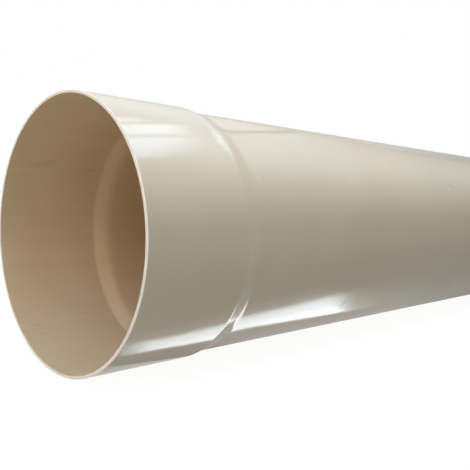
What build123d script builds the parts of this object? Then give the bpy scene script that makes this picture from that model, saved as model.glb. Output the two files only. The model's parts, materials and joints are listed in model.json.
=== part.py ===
# A rain-water downpipe in PVC: one extruded length, with a socket formed on one end.
# It lies along +X, with the middle of the socket's mouth at the origin and +Z up. Lengths are in mm.
import os

from build123d import *

# The barrel
pipe_length = 2000.0
pipe_outer_diameter = 100.0
pipe_wall = 1.2

# The socket, where the warm pipe end was widened over a mandrel to take the next pipe
socket_depth = 43.7
socket_clearance = 0.15
socket_wall = 1.15

# The shoulder from socket to barrel: a tight convex bend, a short cone and a slower hollow bend
shoulder_length = 9.0
crest_bend_reach = 0.6
hollow_bend_reach = 1.5

# The mouth's edge, broken by hand after sawing
mouth_outer_round = 0.45
mouth_inner_round = 0.2

pipe_outer_radius = pipe_outer_diameter / 2
pipe_inner_radius = pipe_outer_radius - pipe_wall
socket_inner_radius = pipe_outer_radius + socket_clearance
socket_outer_radius = socket_inner_radius + socket_wall
shoulder_end = socket_depth + shoulder_length


def wall_line(mouth_start, socket_radius, pipe_radius):
    """One side of the wall from the mouth to the plain end: socket, shoulder and barrel."""
    crest = Vector(socket_depth + crest_bend_reach, socket_radius)
    hollow = Vector(shoulder_end - hollow_bend_reach, pipe_radius)
    down_cone = (hollow - crest).normalized()
    socket_line = Line((mouth_start, socket_radius), (socket_depth, socket_radius))
    crest_bend = TangentArc(socket_line @ 1, crest + down_cone * crest_bend_reach, tangent=socket_line % 1)
    cone_line = Line(crest_bend @ 1, hollow - down_cone * hollow_bend_reach)
    hollow_bend = TangentArc(cone_line @ 1, (shoulder_end, pipe_radius), tangent=cone_line % 1)
    barrel_line = Line(hollow_bend @ 1, (pipe_length, pipe_radius))
    return barrel_line @ 1


def wall_section():
    """The wall cut along the axis, with the distance along the pipe as x and the radius as y."""
    with BuildSketch(Plane.XZ) as section:
        with BuildLine():
            outer_end = wall_line(mouth_outer_round, socket_outer_radius, pipe_outer_radius)
            inner_end = wall_line(mouth_inner_round, socket_inner_radius, pipe_inner_radius)
            Line(outer_end, inner_end)
            face_outer = (0, socket_outer_radius - mouth_outer_round)
            face_inner = (0, socket_inner_radius + mouth_inner_round)
            TangentArc(face_outer, (mouth_outer_round, socket_outer_radius), tangent=(0, 1))
            TangentArc(face_inner, (mouth_inner_round, socket_inner_radius), tangent=(0, -1))
            Line(face_outer, face_inner)
        make_face()
    return section.sketch


def make_pipe():
    """The whole pipe, its wall's section turned once round the axis."""
    pipe = revolve(wall_section(), axis=Axis.X)
    pipe.label = "pipe"
    return pipe


os.makedirs("parts", exist_ok=True)
export_step(make_pipe(), "parts/pipe.step")
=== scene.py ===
import json
import math

import bmesh
import bpy
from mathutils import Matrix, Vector


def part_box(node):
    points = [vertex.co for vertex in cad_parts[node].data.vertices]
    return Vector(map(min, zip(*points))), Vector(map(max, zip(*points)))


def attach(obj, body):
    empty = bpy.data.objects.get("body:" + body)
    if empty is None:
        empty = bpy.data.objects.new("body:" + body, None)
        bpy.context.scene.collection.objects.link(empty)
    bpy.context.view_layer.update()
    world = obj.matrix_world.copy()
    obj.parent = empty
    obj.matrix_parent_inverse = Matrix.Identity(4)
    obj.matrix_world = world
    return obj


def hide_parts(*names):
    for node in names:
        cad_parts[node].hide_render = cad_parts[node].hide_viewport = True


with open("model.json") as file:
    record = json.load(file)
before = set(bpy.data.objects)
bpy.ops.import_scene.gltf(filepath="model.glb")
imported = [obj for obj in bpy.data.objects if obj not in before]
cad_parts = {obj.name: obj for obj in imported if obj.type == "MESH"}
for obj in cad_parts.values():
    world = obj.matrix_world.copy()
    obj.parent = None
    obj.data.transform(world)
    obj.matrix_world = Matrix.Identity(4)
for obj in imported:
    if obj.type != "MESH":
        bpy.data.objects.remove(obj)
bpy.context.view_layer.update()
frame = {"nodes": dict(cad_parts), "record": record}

# The pipe's sizes, in metres, read from the frame
MM = 0.001
mounts = {mount["name"]: mount for mount in frame["record"]["mounts"]}
pipe_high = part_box("pipe")[1]
pipe_length = pipe_high.x
pipe_outer_radius = mounts["spigot"]["dims"]["r_mm"] * MM
socket_outer_radius = pipe_high.z
socket_inner_radius = mounts["socket"]["dims"]["r_mm"] * MM
socket_depth = mounts["socket"]["dims"]["length_mm"] * MM
shoulder_length = pipe_length - mounts["spigot"]["dims"]["length_mm"] * MM - socket_depth
pipe_inner_radius = min(math.hypot(v.co.y, v.co.z) for v in frame["nodes"]["pipe"].data.vertices)

# The finer shape of the wall's edges and bends
mouth_outer_round = 0.45 * MM
mouth_inner_round = 0.2 * MM
crest_bend_reach = 0.6 * MM
hollow_bend_reach = 1.5 * MM

# How finely the mesh is divided
ring_gap = 0.3 * MM
round_steps = 6
bend_steps = 10
turn_steps = 256
barrel_rings = 20
merge_distance = 0.001 * MM
sharp_angle = math.radians(40)

# The outer skin
skin_deep = (0.665, 0.595, 0.459, 1)
skin_pale = (0.695, 0.622, 0.482, 1)
skin_line_tint = (0.645, 0.57, 0.415, 1)
skin_line_share = 0.2
skin_hair_tint = (0.90, 0.86, 0.76, 1)
skin_hair_share = 0.35
skin_roughness = (0.06, 0.085)
skin_hair_roughness = 0.12
skin_mark_roughness = 0.2
skin_line_height = 0.4
skin_ripple_height = 2.8
skin_hair_depth = 0.15
skin_speck_depth = 2.0
skin_bump = 0.012 * MM

# The bore, and the greyer, rougher tint on its lower half
bore_deep = (0.745, 0.580, 0.372, 1)
bore_pale = (0.778, 0.616, 0.402, 1)
bore_past_shoulder = (0.715, 0.535, 0.325, 1)
bore_line_tint = (0.64, 0.49, 0.30, 1)
bore_line_share = 0.22
bore_hair_tint = (0.86, 0.76, 0.60, 1)
bore_hair_share = 0.3
bore_low_tint = (0.60, 0.525, 0.445, 1)
bore_low_start = -0.15 * pipe_inner_radius
bore_low_share = 0.6
bore_low_least = 0.75
bore_low_roughness = 0.2
bore_roughness = (0.36, 0.46)
bore_line_height = 0.8
bore_cloud_height = 0.6
bore_bump = 0.012 * MM

# The sawn edge, and the pale band round the outside of its face, a painted highlight along its rounded edge
edge_deep = (0.61, 0.54, 0.445, 1)
edge_pale = (0.665, 0.59, 0.495, 1)
saw_line_tint = (0.52, 0.455, 0.365, 1)
saw_line_share = 0.3
# The pale band round the outer edge of the cut is a painted highlight
edge_glint_tint = (0.84, 0.80, 0.735, 1)
edge_glint_start = socket_outer_radius - mouth_outer_round + 0.1 * MM
edge_glint_end = socket_outer_radius - mouth_outer_round + 0.4 * MM
sawn_roughness = 0.55
edge_glint_roughness = 0.45
saw_bump = 0.03 * MM

# Which part of the lines' noise shows as lines
line_range = (0.35, 0.75)
saw_line_range = (0.4, 0.7)

# Each mark: its two ends as mm from the mouth and degrees up, its half width in mm, and how ragged it is
# The first mark is a painted highlight: the window's glint on the shoulder's crest, drawn as a pale
# lens-shaped mark
painted_crest_glint = ((44.3, 30.5), (41.6, 53.5), 4.0, 1.5)
pale_scratch = ((89.8, 64.0), (81.7, 51.2), 0.4, 0.3)
pale_nick = ((84.0, 55.0), (81.0, 48.0), 0.3, 0.3)
dark_smear = ((206.5, 29.3), (220.0, 27.2), 1.0, 0.5)
dark_speck = ((97.0, -41.8), (97.8, -41.8), 0.35, 0.3)
shoulder_speck = ((57.0, 25.4), (58.2, 25.0), 0.4, 0.4)
bore_smudge = ((7.0, 146.5), (24.0, 142.5), 1.6, 1.4)
shoulder_dirt = ((36.0, 149.0), (41.4, 145.4), 1.1, 1.6)
low_scuff = ((4.4, 227.5), (10.2, 229.2), 1.0, 1.2)
lower_scuff = ((6.0, 232.4), (10.8, 236.0), 1.0, 1.2)

# How strongly the marks show, and their colours
crest_glint_share = 0.68
scratch_share = 0.45
smear_share = 0.3
speck_share = 0.6
bore_dirt_share = 0.16
glint_and_scratch_tint = (0.88, 0.865, 0.82, 1)
dark_mark_tint = (0.30, 0.27, 0.20, 1)
bore_dirt_tint = (0.30, 0.23, 0.14, 1)


class Graph:
    """Adds nodes to one node tree and links what feeds them."""

    def __init__(self, tree):
        self.nodes = tree.nodes
        self.links = tree.links

    def node(self, kind, feeds=None, **settings):
        """A node of that kind, with its settings, and values or sockets for its inputs."""
        made = self.nodes.new("ShaderNode" + kind)
        for name, value in settings.items():
            setattr(made, name, value)
        for name, value in (feeds or {}).items():
            self.feed(made.inputs[name], value)
        return made

    def feed(self, socket, value):
        """Links a socket to an input, or sets the input's own value."""
        if isinstance(value, bpy.types.NodeSocket):
            self.links.new(value, socket)
        else:
            socket.default_value = value

    def math(self, operation, first, second=0.0, third=0.0):
        """One sum of up to three numbers."""
        return self.node("Math", {0: first, 1: second, 2: third}, operation=operation).outputs[0]

    def plus(self, first, second):
        """The two added."""
        return self.math("ADD", first, second)

    def minus(self, first, second):
        """The second taken from the first."""
        return self.math("SUBTRACT", first, second)

    def times(self, first, second):
        """The two multiplied."""
        return self.math("MULTIPLY", first, second)

    def over(self, first, second):
        """The first divided by the second."""
        return self.math("DIVIDE", first, second)

    def larger(self, first, second):
        """The larger of the two."""
        return self.math("MAXIMUM", first, second)

    def squared(self, value):
        """The value times itself."""
        return self.math("POWER", value, 2.0)

    def scaled_plus(self, value, factor, extra):
        """The value times the factor, and the extra added."""
        return self.math("MULTIPLY_ADD", value, factor, extra)

    def vector(self, operation, first, second):
        """One sum of two vectors, as a vector."""
        return self.node("VectorMath", {0: first, 1: second}, operation=operation).outputs["Vector"]

    def dot(self, first, second):
        """How far one vector goes along another."""
        return self.node("VectorMath", {0: first, 1: second}, operation="DOT_PRODUCT").outputs["Value"]

    def length(self, vector):
        """How long a vector is."""
        return self.node("VectorMath", {0: vector}, operation="LENGTH").outputs["Value"]

    def noise(self, place, scale, detail, roughness=0.5):
        """Soft noise over a place, about that many spots to a metre."""
        feeds = {"Vector": place, "Scale": scale, "Detail": detail, "Roughness": roughness}
        return self.node("TexNoise", feeds).outputs[0]

    def rise(self, value, start, end, low=0.0, high=1.0):
        """Goes smoothly from low at start to high at end."""
        feeds = {"Value": value, "From Min": start, "From Max": end, "To Min": low, "To Max": high}
        return self.node("MapRange", feeds, interpolation_type="SMOOTHSTEP").outputs["Result"]

    def band(self, value, start, end, soft):
        """1 between start and end, with soft edges."""
        up = self.rise(value, start - soft / 2, start + soft / 2)
        down = self.rise(value, end - soft / 2, end + soft / 2)
        return self.minus(up, down)

    def blend(self, share, first, second):
        """A colour between two, by that share of the second."""
        mix = self.nodes.new("ShaderNodeMix")
        mix.data_type = "RGBA"
        self.feed(mix.inputs[0], share)
        self.feed(mix.inputs[6], first)
        self.feed(mix.inputs[7], second)
        return mix.outputs[2]


def new_group(name, takes, gives):
    """An empty node group with these sockets: its tree, its graph, what it is given and its end."""
    tree = bpy.data.node_groups.new(name, "ShaderNodeTree")
    for socket, kind in takes.items():
        tree.interface.new_socket(name=socket, in_out="INPUT", socket_type="NodeSocket" + kind)
    tree.interface.new_socket(name=gives, in_out="OUTPUT", socket_type="NodeSocketFloat")
    start = tree.nodes.new("NodeGroupInput")
    end = tree.nodes.new("NodeGroupOutput")
    return tree, Graph(tree), start.outputs, end.inputs[gives]


def make_drawn_lines():
    """Fine lines that run along the pipe, as the die leaves them."""
    takes = {"Place": "Vector", "Lines Across": "Float", "Lines Along": "Float"}
    tree, graph, given, end = new_group("drawn_lines", takes, "Lines")
    across = given["Lines Across"]
    stretch = graph.node("CombineXYZ", {0: given["Lines Along"], 1: across, 2: across}).outputs[0]
    stretched = graph.vector("MULTIPLY", given["Place"], stretch)
    graph.feed(end, graph.noise(stretched, scale=1.0, detail=3.0, roughness=0.6))
    return tree


def make_cloudiness():
    """Soft uneven patches, a few centimetres wide."""
    takes = {"Place": "Vector", "Patches": "Float"}
    tree, graph, given, end = new_group("cloudiness", takes, "Clouds")
    clouds = graph.noise(given["Place"], scale=given["Patches"], detail=2.0)
    graph.feed(end, graph.rise(clouds, start=0.3, end=0.7))
    return tree


def make_hair_scratches():
    """Sparse hair-thin scratches, stretched along or round the pipe and gathered in patches."""
    hair_softness = 0.03
    takes = {"Place": "Vector", "Stretch": "Vector", "Thinness": "Float"}
    tree, graph, given, end = new_group("hair_scratches", takes, "Scratches")
    stretched = graph.vector("MULTIPLY", given["Place"], given["Stretch"])
    hairs = graph.noise(stretched, scale=1.0, detail=1.0)
    thin = graph.rise(hairs, given["Thinness"], graph.plus(given["Thinness"], hair_softness))
    patches = graph.noise(given["Place"], scale=21.0, detail=1.0)
    graph.feed(end, graph.times(thin, graph.rise(patches, start=0.48, end=0.62)))
    return tree


def make_lens_mark():
    """One lens-shaped mark on the wall, at a place, along a way, that long and that wide."""
    takes = {"Place": "Vector", "Middle": "Vector", "Way": "Vector", "Half Length": "Float",
             "Half Width": "Float", "Ragged": "Float"}
    tree, graph, given, end = new_group("lens_mark", takes, "Mark")
    offset = graph.vector("SUBTRACT", given["Place"], given["Middle"])
    along = graph.dot(offset, given["Way"])
    across_squared = graph.minus(graph.squared(graph.length(offset)), graph.squared(along))
    across = graph.math("SQRT", graph.larger(across_squared, 0.0))
    along_share = graph.over(graph.math("ABSOLUTE", along), given["Half Length"])
    across_share = graph.over(across, given["Half Width"])
    reach = graph.plus(graph.squared(along_share), across_share)
    uneven = graph.minus(graph.noise(given["Place"], scale=600.0, detail=4.0), 0.5)
    reach = graph.plus(reach, graph.times(uneven, given["Ragged"]))
    graph.feed(end, graph.rise(reach, start=1.1, end=0.1))
    return tree


drawn_lines = make_drawn_lines()
cloudiness = make_cloudiness()
hair_scratches = make_hair_scratches()
lens_mark = make_lens_mark()


def side_corners(socket_radius, pipe_radius, mouth_round):
    """One side of the wall from the mouth to the plain end, as corners (along, radius, reach, steps).

    The reach and the steps are those of the corner's rounding. A plain corner close to each bend keeps
    the straight run beside it shading straight.
    """
    shoulder_end = socket_depth + shoulder_length
    crest = socket_depth + crest_bend_reach
    hollow = shoulder_end - hollow_bend_reach
    slope = (pipe_radius - socket_radius) / (hollow - crest)
    below_crest = crest_bend_reach + ring_gap
    above_hollow = hollow_bend_reach + ring_gap
    return [
        (0.0, socket_radius, mouth_round, round_steps),
        (mouth_round + ring_gap, socket_radius, 0.0, 0),
        (socket_depth - ring_gap, socket_radius, 0.0, 0),
        (crest, socket_radius, crest_bend_reach, bend_steps),
        (crest + below_crest, socket_radius + slope * below_crest, 0.0, 0),
        (hollow - above_hollow, pipe_radius - slope * above_hollow, 0.0, 0),
        (hollow, pipe_radius, hollow_bend_reach, bend_steps),
        (hollow + above_hollow, pipe_radius, 0.0, 0),
        (pipe_length, pipe_radius, 0.0, 0),
    ]


def wall_corners():
    """The corners of the wall's section, out along the outer side and back along the bore."""
    outer = side_corners(socket_outer_radius, pipe_outer_radius, mouth_outer_round)
    inner = side_corners(socket_inner_radius, pipe_inner_radius, mouth_inner_round)
    return outer + inner[::-1]


def surface_number(face):
    """0 for the outer skin, 1 for the bore and 2 for the sawn ends."""
    end_facing = 0.2
    middle = face.calc_center_median()
    if middle.x < mouth_outer_round or middle.x > pipe_length - mouth_inner_round:
        return 2 if abs(face.normal.x) > end_facing else 0
    return 0 if face.normal.dot(Vector((0, middle.y, middle.z))) > 0 else 1


def make_pipe_mesh():
    """Turns the rounded section of the wall once round the axis."""
    bm = bmesh.new()
    corners = wall_corners()
    points = [bm.verts.new((along, 0, radius)) for along, radius, _, _ in corners]
    for number, point in enumerate(points):
        bm.edges.new((points[number - 1], point))
    for point, (_, _, reach, steps) in zip(points, corners):
        if steps:
            bmesh.ops.bevel(bm, geom=[point], offset=reach, offset_type="OFFSET", segments=steps,
                            profile=0.5, affect="VERTICES", material=-1, clamp_overlap=False)
    barrel = [edge for edge in bm.edges if edge.calc_length() > pipe_length / 2]
    bmesh.ops.subdivide_edges(bm, edges=barrel, cuts=barrel_rings - 1)
    bmesh.ops.spin(bm, geom=bm.verts[:] + bm.edges[:], cent=(0, 0, 0), axis=(1, 0, 0),
                   angle=2 * math.pi, steps=turn_steps, use_merge=True)
    bmesh.ops.remove_doubles(bm, verts=bm.verts[:], dist=merge_distance)
    bmesh.ops.recalc_face_normals(bm, faces=bm.faces[:])
    for face in bm.faces:
        face.material_index = surface_number(face)
    mesh = bpy.data.meshes.new("pvc_pipe")
    bm.to_mesh(mesh)
    bm.free()
    return mesh


def add_object(name, data):
    """Links a new object for this data into the scene."""
    made = bpy.data.objects.new(name, data)
    bpy.context.scene.collection.objects.link(made)
    return made


def new_material(name):
    """A new material: itself, its graph, its shader and the place on the piece."""
    material = bpy.data.materials.new(name)
    material.use_nodes = True
    graph = Graph(material.node_tree)
    shader = material.node_tree.nodes["Principled BSDF"]
    place = graph.node("TexCoord").outputs["Object"]
    return material, graph, shader, place


def feed_bump(graph, shader, height, distance):
    """Lets a height over the surface tilt the shader's normal."""
    bump = graph.node("Bump", {"Height": height, "Strength": 1.0, "Distance": distance})
    graph.feed(shader.inputs["Normal"], bump.outputs[0])


def group_value(graph, tree, **feeds):
    """Places a group and gives its one output."""
    named = {name.replace("_", " ").title(): value for name, value in feeds.items()}
    return graph.node("Group", named, node_tree=tree).outputs[0]


def wall_place(along_mm, angle_deg, radius):
    """A place on the wall, that far from the mouth and that many degrees up from the near side."""
    angle = math.radians(angle_deg)
    return Vector((along_mm * MM, -radius * math.cos(angle), radius * math.sin(angle)))


def wall_mark(graph, place, radius, mark):
    """How fully one mark covers each place on the wall of that radius."""
    first, second, half_width_mm, ragged = mark
    start = wall_place(*first, radius)
    end = wall_place(*second, radius)
    way = end - start
    return group_value(graph, lens_mark, place=place, middle=(start + end) / 2, way=way.normalized(),
                       half_length=way.length / 2, half_width=half_width_mm * MM, ragged=ragged)


def outer_skin():
    """Sand-coloured PVC as it leaves the die: smooth and glossy, with faint lines, a few scratches and
    specks, and a painted highlight on the shoulder's crest.
    """
    material, graph, shader, place = new_material("outer_skin")
    lines = group_value(graph, drawn_lines, place=place, lines_across=420.0, lines_along=2.0)
    clouds = group_value(graph, cloudiness, place=place, patches=26.0)
    along_hairs = group_value(graph, hair_scratches, place=place, stretch=(9.0, 900.0, 900.0), thinness=0.74)
    round_hairs = group_value(graph, hair_scratches, place=place, stretch=(1100.0, 35.0, 35.0), thinness=0.76)
    hairs = graph.larger(along_hairs, round_hairs)

    # A painted highlight on the shoulder's crest, drawn as a pale mark
    crest_glint = wall_mark(graph, place, socket_outer_radius, painted_crest_glint)
    scratch = wall_mark(graph, place, pipe_outer_radius, pale_scratch)
    nick = wall_mark(graph, place, pipe_outer_radius, pale_nick)
    scratches = graph.times(graph.larger(scratch, nick), scratch_share)
    pale = graph.larger(graph.times(crest_glint, crest_glint_share), scratches)
    smear = wall_mark(graph, place, pipe_outer_radius, dark_smear)
    speck = wall_mark(graph, place, pipe_outer_radius, dark_speck)
    near_speck = wall_mark(graph, place, pipe_outer_radius, shoulder_speck)
    specks = graph.times(graph.larger(speck, near_speck), speck_share)
    dark = graph.larger(graph.times(smear, smear_share), specks)

    colour = graph.blend(clouds, skin_deep, skin_pale)
    colour = graph.blend(graph.rise(lines, *line_range, 0.0, skin_line_share), colour, skin_line_tint)
    colour = graph.blend(graph.times(hairs, skin_hair_share), colour, skin_hair_tint)
    # Pale: the painted crest highlight, and the real pale scratches
    colour = graph.blend(pale, colour, glint_and_scratch_tint)
    colour = graph.blend(dark, colour, dark_mark_tint)
    graph.feed(shader.inputs["Base Color"], colour)

    roughness = graph.rise(clouds, 0.0, 1.0, *skin_roughness)
    roughness = graph.plus(roughness, graph.times(hairs, skin_hair_roughness))
    roughness = graph.plus(roughness, graph.times(graph.larger(pale, dark), skin_mark_roughness))
    graph.feed(shader.inputs["Roughness"], roughness)

    ripple = graph.noise(place, scale=170.0, detail=2.0)
    height = graph.plus(graph.times(lines, skin_line_height), clouds)
    height = graph.plus(height, graph.times(ripple, skin_ripple_height))
    height = graph.minus(height, graph.times(hairs, skin_hair_depth))
    height = graph.minus(height, graph.times(speck, skin_speck_depth))
    feed_bump(graph, shader, height, skin_bump)
    return material


def bore_skin():
    """The inside of the wall: the same PVC, warmer and duller, with drawn lines, and greyer and rougher
    towards the bottom.
    """
    material, graph, shader, place = new_material("bore_skin")
    lines = group_value(graph, drawn_lines, place=place, lines_across=260.0, lines_along=4.0)
    clouds = group_value(graph, cloudiness, place=place, patches=38.0)
    hairs = group_value(graph, hair_scratches, place=place, stretch=(14.0, 700.0, 700.0), thinness=0.7)
    split = graph.node("SeparateXYZ", {0: place})

    past_shoulder = graph.rise(split.outputs["X"], socket_depth, socket_depth + 2 * shoulder_length)
    # Greyer and rougher towards the bottom of the bore
    bore_low = graph.rise(split.outputs["Z"], bore_low_start, -socket_inner_radius, 0.0, bore_low_share)
    bore_low = graph.times(bore_low, graph.rise(clouds, 0.0, 1.0, bore_low_least, 1.0))
    smudge = wall_mark(graph, place, socket_inner_radius, bore_smudge)
    trail = wall_mark(graph, place, socket_inner_radius, shoulder_dirt)
    first_scuff = wall_mark(graph, place, socket_inner_radius, low_scuff)
    second_scuff = wall_mark(graph, place, socket_inner_radius, lower_scuff)
    dirt = graph.larger(graph.larger(smudge, trail), graph.larger(first_scuff, second_scuff))

    colour = graph.blend(clouds, bore_deep, bore_pale)
    colour = graph.blend(past_shoulder, colour, bore_past_shoulder)
    colour = graph.blend(graph.rise(lines, *line_range, 0.0, bore_line_share), colour, bore_line_tint)
    colour = graph.blend(bore_low, colour, bore_low_tint)
    colour = graph.blend(graph.times(hairs, bore_hair_share), colour, bore_hair_tint)
    colour = graph.blend(graph.times(dirt, bore_dirt_share), colour, bore_dirt_tint)
    graph.feed(shader.inputs["Base Color"], colour)

    roughness = graph.rise(clouds, 0.0, 1.0, *bore_roughness)
    graph.feed(shader.inputs["Roughness"], graph.plus(roughness, graph.times(bore_low, bore_low_roughness)))
    height = graph.plus(graph.times(lines, bore_line_height), graph.times(clouds, bore_cloud_height))
    feed_bump(graph, shader, height, bore_bump)
    return material


def sawn_edge():
    """The cut through the wall: paler, with fine saw lines on the face and a painted highlight round its
    outer edge.
    """
    material, graph, shader, place = new_material("sawn_edge")
    split = graph.node("SeparateXYZ", {0: place})
    flat = graph.node("CombineXYZ", {0: 0.0, 1: split.outputs["Y"], 2: split.outputs["Z"]}).outputs[0]
    saw_lines = group_value(graph, drawn_lines, place=place, lines_across=1500.0, lines_along=1500.0)
    clouds = group_value(graph, cloudiness, place=place, patches=90.0)
    edge_glint = graph.rise(graph.length(flat), edge_glint_start, edge_glint_end)

    colour = graph.blend(clouds, edge_deep, edge_pale)
    colour = graph.blend(graph.rise(saw_lines, *saw_line_range, 0.0, saw_line_share), colour, saw_line_tint)
    # A painted highlight: a pale band round the rounded outer edge
    colour = graph.blend(edge_glint, colour, edge_glint_tint)
    graph.feed(shader.inputs["Base Color"], colour)
    graph.feed(shader.inputs["Roughness"], graph.rise(edge_glint, 0.0, 1.0, sawn_roughness, edge_glint_roughness))
    feed_bump(graph, shader, saw_lines, saw_bump)
    return material


pipe_mesh = make_pipe_mesh()
pipe_mesh.shade_smooth()
pipe_mesh.set_sharp_from_angle(angle=sharp_angle)
for finish in (outer_skin(), bore_skin(), sawn_edge()):
    pipe_mesh.materials.append(finish)
pipe = add_object("pvc_pipe", pipe_mesh)
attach(pipe, "root")
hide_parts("pipe")

# The pale floor, which goes to full white further off
white_light = (1, 1, 1, 1)
floor_level = -socket_outer_radius
floor_half = 30.0
floor_colour = (0.12, 0.12, 0.12, 1)
floor_white = 0.93
floor_white_start = 1.3
floor_white_end = 2.8
floor_white_stretch = (1, 2, 0)
table_light = 0.52

# The room that the pipe's sheen shows: how bright each part of it is
room_light = 0.02
room_gloss = 0.08
backdrop_gloss = 0.66
backdrop_glow = 0.2
ceiling_gloss = 3.0
beam_gloss_drop = 0.9
table_gloss = 0.14
under_pipe_gloss = 0.44
under_socket_gloss = 0.2
far_table_gloss = 0.45
patch_gloss = 4.1
patch_skirt_gloss = 0.5
dim_sheen_colour = (1.0, 0.98, 0.955, 1)
bright_sheen_colour = (0.87, 0.945, 1.0, 1)

# Where each part starts and ends, as directions of length 1: right along the pipe, back past it, and up
horizon = (-0.1, 0.0)
least_slope = 0.1
backdrop_rise = (-0.05, 0.4)
backdrop_glow_rise = (0.5, 0.8)
backdrop_right_fade = (0.84, 0.93)
backdrop_right_share = 0.7
ceiling_rise = (0.0, 0.85)
ceiling_back_fade = (-0.2, 0.3)
ceiling_back_share = 0.66
ceiling_front_rise = (-0.62, -0.25)
ceiling_right_fade = (0.68, 0.92)
ceiling_right_share = 0.58
barrel_start = (0.69, 0.74)
socket_front_share = 0.8
barrel_front_share = 0.5
beam_slant = 0.97
beam_edges = (-0.625, -0.545)
beam_softness = 0.05
beam_start = (0.66, 0.69)
table_rise = (-0.35, 0.15)
under_barrel_start = (0.62, 0.72)
under_pipe_right_fade = (0.84, 0.92)
under_pipe_right_share = 0.6
far_table_slant = 1.35
far_table_rise = (-0.2, -0.15)
bright_sheen_rise = (0.7, 1.6)
cool_right_rise = (0.82, 0.9)

# The bright patch low in front of the pipe, by how far right and back it lies for each step down
patch_flare_start = 0.78
patch_flare = 0.51
patch_near_edge = 0.53
patch_near_rise = (-0.09, 0.075)
patch_skirt_rise = (-0.3, 0.0)
patch_far_slant = 0.2
patch_far_fade = (0.10, 0.22)
patch_step = 0.11
patch_step_fade = (1.0, 1.06)
patch_start = (0.53, 0.60)
patch_dim_fade = (0.798, 0.824)
patch_dim_share = 0.1
patch_end_fade = (0.82, 0.85)

# Each lamp: its place, its turn in degrees, its width and length, and its radiance
lamps = {
    "key": ((1.0, -0.3, 1.5), (0, 0, 0), (3.4, 1.05), 2.53),
    "mouth_fill": ((-1.4, 0.0, 0.1), (0, -90, 0), (0.8, 0.8), 7.8),
    "upper_fill": ((-1.2, 0.0, 0.7), (0, -60, 0), (0.8, 0.8), 2.6),
    "near_fill": ((-0.8, -0.8, 0.9), (0, -50, 45), (0.8, 0.8), 1.9),
    "end_fill": ((5.0, -0.5, 0.25), (0, 90, 0), (2.0, 2.0), 13.0),
    "back_fill": ((1.0, 3.0, 0.35), (-90, 0, 0), (3.4, 0.6), 3.0),
}

# The window over the socket, square to the camera: its face, and how far right and away its middle lies
window_size = (0.75, 1.1)
window_right = 0.575
window_away = 0.55
window_height = 1.0
window_turn = -45
window_colour = (0.63, 0.78, 1.0)
pane_softness = 0.065

# Each pane: its left and right edge, its level, and where it starts and ends to fade
panes = [
    (0.302, 0.35, 2.8, 0.97, 1.10),
    (0.397, 0.549, 3.4, 1.06, 1.28),
    (0.589, 0.935, 4.1, 1.03, 1.31),
]

# The photograph's view
camera_place = (-108.8 * MM, -197.0 * MM, 6.3 * MM)
camera_dip = 1.68
camera_turn = -44.98
camera_lens = 46.29
camera_sensor = 36.0
camera_clip = (0.01, 100.0)


def sheen_from_above(graph, right, back, up):
    """What the pipe's sheen shows above the table: a bright ceiling with a beam, and a backdrop."""
    backdrop = graph.rise(back, *backdrop_rise, room_gloss, backdrop_gloss)
    backdrop = graph.plus(backdrop, graph.rise(back, *backdrop_glow_rise, 0.0, backdrop_glow))
    backdrop = graph.times(backdrop, graph.rise(right, *backdrop_right_fade, 1.0, backdrop_right_share))

    ceiling = graph.rise(up, *ceiling_rise, 0.0, ceiling_gloss)
    ceiling = graph.times(ceiling, graph.rise(back, *ceiling_back_fade, 1.0, ceiling_back_share))
    front_share = graph.rise(right, *barrel_start, socket_front_share, barrel_front_share)
    ceiling = graph.times(ceiling, graph.rise(back, *ceiling_front_rise, front_share, 1.0))
    from_beam = graph.over(graph.scaled_plus(right, -beam_slant, back), graph.larger(up, least_slope))
    beam = graph.times(graph.band(from_beam, *beam_edges, beam_softness), graph.rise(right, *beam_start))
    ceiling = graph.minus(ceiling, graph.times(beam, beam_gloss_drop))
    ceiling = graph.times(ceiling, graph.rise(right, *ceiling_right_fade, 1.0, ceiling_right_share))
    return graph.larger(backdrop, ceiling)


def bright_patch(graph, right, back, up):
    """One bright patch far down, with a soft skirt on its near side and a step in its far side."""
    drop = graph.larger(graph.times(up, -1.0), least_slope)
    along = graph.over(right, drop)
    inward = graph.over(back, drop)
    flare = graph.scaled_plus(graph.larger(along, patch_flare_start), patch_flare, -patch_near_edge)
    from_near_edge = graph.plus(inward, flare)
    from_far_edge = graph.scaled_plus(along, -patch_far_slant, inward)
    from_far_edge = graph.minus(from_far_edge, graph.rise(along, *patch_step_fade, patch_step, 0.0))
    patch = graph.times(graph.rise(from_near_edge, *patch_near_rise), patch_gloss)
    patch = graph.larger(patch, graph.rise(from_near_edge, *patch_skirt_rise, 0.0, patch_skirt_gloss))
    patch = graph.times(patch, graph.rise(from_far_edge, *patch_far_fade, 1.0, 0.0))
    patch = graph.times(patch, graph.rise(right, *patch_start))
    patch = graph.times(patch, graph.rise(right, *patch_dim_fade, 1.0, patch_dim_share))
    return graph.times(patch, graph.rise(right, *patch_end_fade, 1.0, 0.0))


def sheen_from_below(graph, right, back, up):
    """What the sheen shows of the table: dim in front, paler under and past the pipe, and the patch."""
    under_pipe = graph.rise(right, *under_barrel_start, under_socket_gloss, under_pipe_gloss)
    right_share = graph.rise(right, *under_pipe_right_fade, 1.0, under_pipe_right_share)
    under_pipe = graph.times(under_pipe, right_share)
    table = graph.rise(back, *table_rise, table_gloss, under_pipe)
    past_pipe = graph.scaled_plus(right, -far_table_slant, back)
    table = graph.plus(table, graph.rise(past_pipe, *far_table_rise, 0.0, far_table_gloss))
    return graph.plus(table, bright_patch(graph, right, back, up))


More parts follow.
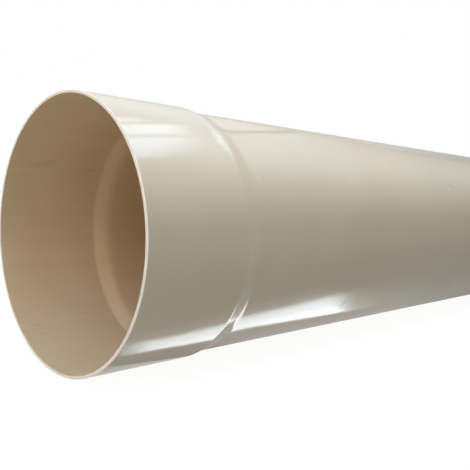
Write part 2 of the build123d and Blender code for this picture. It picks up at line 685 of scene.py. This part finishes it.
def make_world():
    """White to the eye, a dim light on the pipe, and for its sheen the room by direction."""
    world = bpy.data.worlds.new("studio")
    bpy.context.scene.world = world
    world.use_nodes = True
    world.node_tree.nodes.clear()
    graph = Graph(world.node_tree)
    path = graph.node("LightPath")
    way = graph.node("SeparateXYZ", {0: graph.node("TexCoord").outputs["Generated"]})
    upward = graph.rise(way.outputs["Z"], *horizon)
    above = graph.times(upward, sheen_from_above(graph, *way.outputs))
    below = graph.times(graph.minus(1.0, upward), sheen_from_below(graph, *way.outputs))
    gloss = graph.plus(above, below)
    cool_right = graph.rise(way.outputs["X"], *cool_right_rise)
    coolness = graph.larger(graph.rise(gloss, *bright_sheen_rise), cool_right)
    colour = graph.blend(coolness, dim_sheen_colour, bright_sheen_colour)
    level = graph.times(path.outputs["Is Glossy Ray"], graph.minus(gloss, room_light))
    soft = graph.node("Background", {"Color": colour, "Strength": graph.plus(level, room_light)})
    white = graph.node("Background", {"Color": white_light, "Strength": 1.0})
    seen = graph.larger(path.outputs["Is Camera Ray"], path.outputs["Is Transmission Ray"])
    mix = graph.node("MixShader", {0: seen, 1: soft.outputs[0], 2: white.outputs[0]})
    graph.node("OutputWorld", {"Surface": mix.outputs[0]})


def floor_material():
    """White to the eye with the pipe's shadow on it, clear to the sheen, and a soft light from below."""
    material = bpy.data.materials.new("pale_floor")
    material.use_nodes = True
    material.node_tree.nodes.clear()
    graph = Graph(material.node_tree)
    path = graph.node("LightPath")
    glow = graph.node("Emission", {"Color": white_light, "Strength": table_light})
    clear = graph.node("BsdfTransparent")
    lit = graph.node("MixShader", {0: path.outputs["Is Glossy Ray"], 1: glow.outputs[0], 2: clear.outputs[0]})
    pale = graph.node("BsdfDiffuse", {"Color": floor_colour})
    place = graph.node("TexCoord").outputs["Object"]
    from_pipe = graph.vector("SUBTRACT", place, (pipe_length / 2, 0, floor_level))
    away = graph.length(graph.vector("MULTIPLY", from_pipe, floor_white_stretch))
    level = graph.rise(away, floor_white_start, floor_white_end, floor_white, 1.0)
    white = graph.node("Emission", {"Color": white_light, "Strength": level})
    shown = graph.node("AddShader", {0: pale.outputs[0], 1: white.outputs[0]})
    mix = graph.node("MixShader", {0: path.outputs["Is Camera Ray"], 1: lit.outputs[0], 2: shown.outputs[0]})
    graph.node("OutputMaterial", {"Surface": mix.outputs[0]})
    return material


def make_floor():
    """A wide pale floor that the pipe lies on."""
    bm = bmesh.new()
    bmesh.ops.create_grid(bm, x_segments=1, y_segments=1, size=floor_half)
    bmesh.ops.translate(bm, verts=bm.verts[:], vec=(0, 0, floor_level))
    mesh = bpy.data.meshes.new("floor")
    bm.to_mesh(mesh)
    bm.free()
    mesh.materials.append(floor_material())
    add_object("floor", mesh)


def make_lamp(name, place, turn_deg, size, radiance, glossy=False, diffuse=True):
    """A rectangular lamp of that radiance, seen only by the kinds of ray asked for."""
    light = bpy.data.lights.new(name, "AREA")
    light.shape = "RECTANGLE"
    light.size, light.size_y = size
    light.energy = radiance * math.pi * size[0] * size[1]
    lamp = add_object(name, light)
    lamp.location = place
    lamp.rotation_euler = [math.radians(angle) for angle in turn_deg]
    lamp.visible_camera = False
    lamp.visible_glossy = glossy
    lamp.visible_diffuse = diffuse
    return light


def lamp_places(light):
    """The lamp's own graph, and the distances in metres across and along its face from its middle."""
    light.use_nodes = True
    graph = Graph(light.node_tree)
    split = graph.node("SeparateXYZ", {0: graph.node("NewGeometry").outputs["Parametric"]})
    across = graph.times(graph.minus(split.outputs[0], 0.5), light.size)
    along = graph.times(graph.minus(split.outputs[1], 0.5), light.size_y)
    return graph, across, along


def make_window():
    """Panes of light high over the pipe, whose reflections lie along the top of the socket."""
    turn = math.radians(window_turn)
    to_right = Vector((math.cos(turn), math.sin(turn), 0))
    to_far = Vector((-math.sin(turn), math.cos(turn), 0))
    place = to_right * window_right + to_far * window_away + Vector((0, 0, window_height))
    light = make_lamp("window", place, (0, 0, window_turn), window_size, 1.0, glossy=True, diffuse=False)
    light.color = window_colour
    graph, across, along = lamp_places(light)
    across = graph.plus(across, window_right)
    along = graph.plus(along, window_away)
    reach = graph.plus(across, along)
    light_sum = 0.0
    for left, right, level, fade_start, fade_end in panes:
        pane = graph.times(graph.band(across, left, right, pane_softness), level)
        pane = graph.times(pane, graph.rise(reach, fade_start, fade_end, 1.0, 0.0))
        light_sum = graph.plus(light_sum, pane)
    graph.feed(light.node_tree.nodes["Emission"].inputs["Strength"], light_sum)


def make_camera():
    """Sets the camera level with the pipe, looking past its mouth and along it."""
    camera_data = bpy.data.cameras.new("camera")
    camera_data.lens = camera_lens
    camera_data.sensor_width = camera_sensor
    camera_data.clip_start, camera_data.clip_end = camera_clip
    camera = add_object("camera", camera_data)
    camera.location = camera_place
    camera.rotation_euler = (math.radians(90 - camera_dip), 0, math.radians(camera_turn))
    bpy.context.scene.camera = camera


make_world()
make_floor()
for lamp_name, lamp_values in lamps.items():
    make_lamp(lamp_name, *lamp_values)
make_window()
make_camera()
bpy.context.scene.view_settings.view_transform = "Standard"
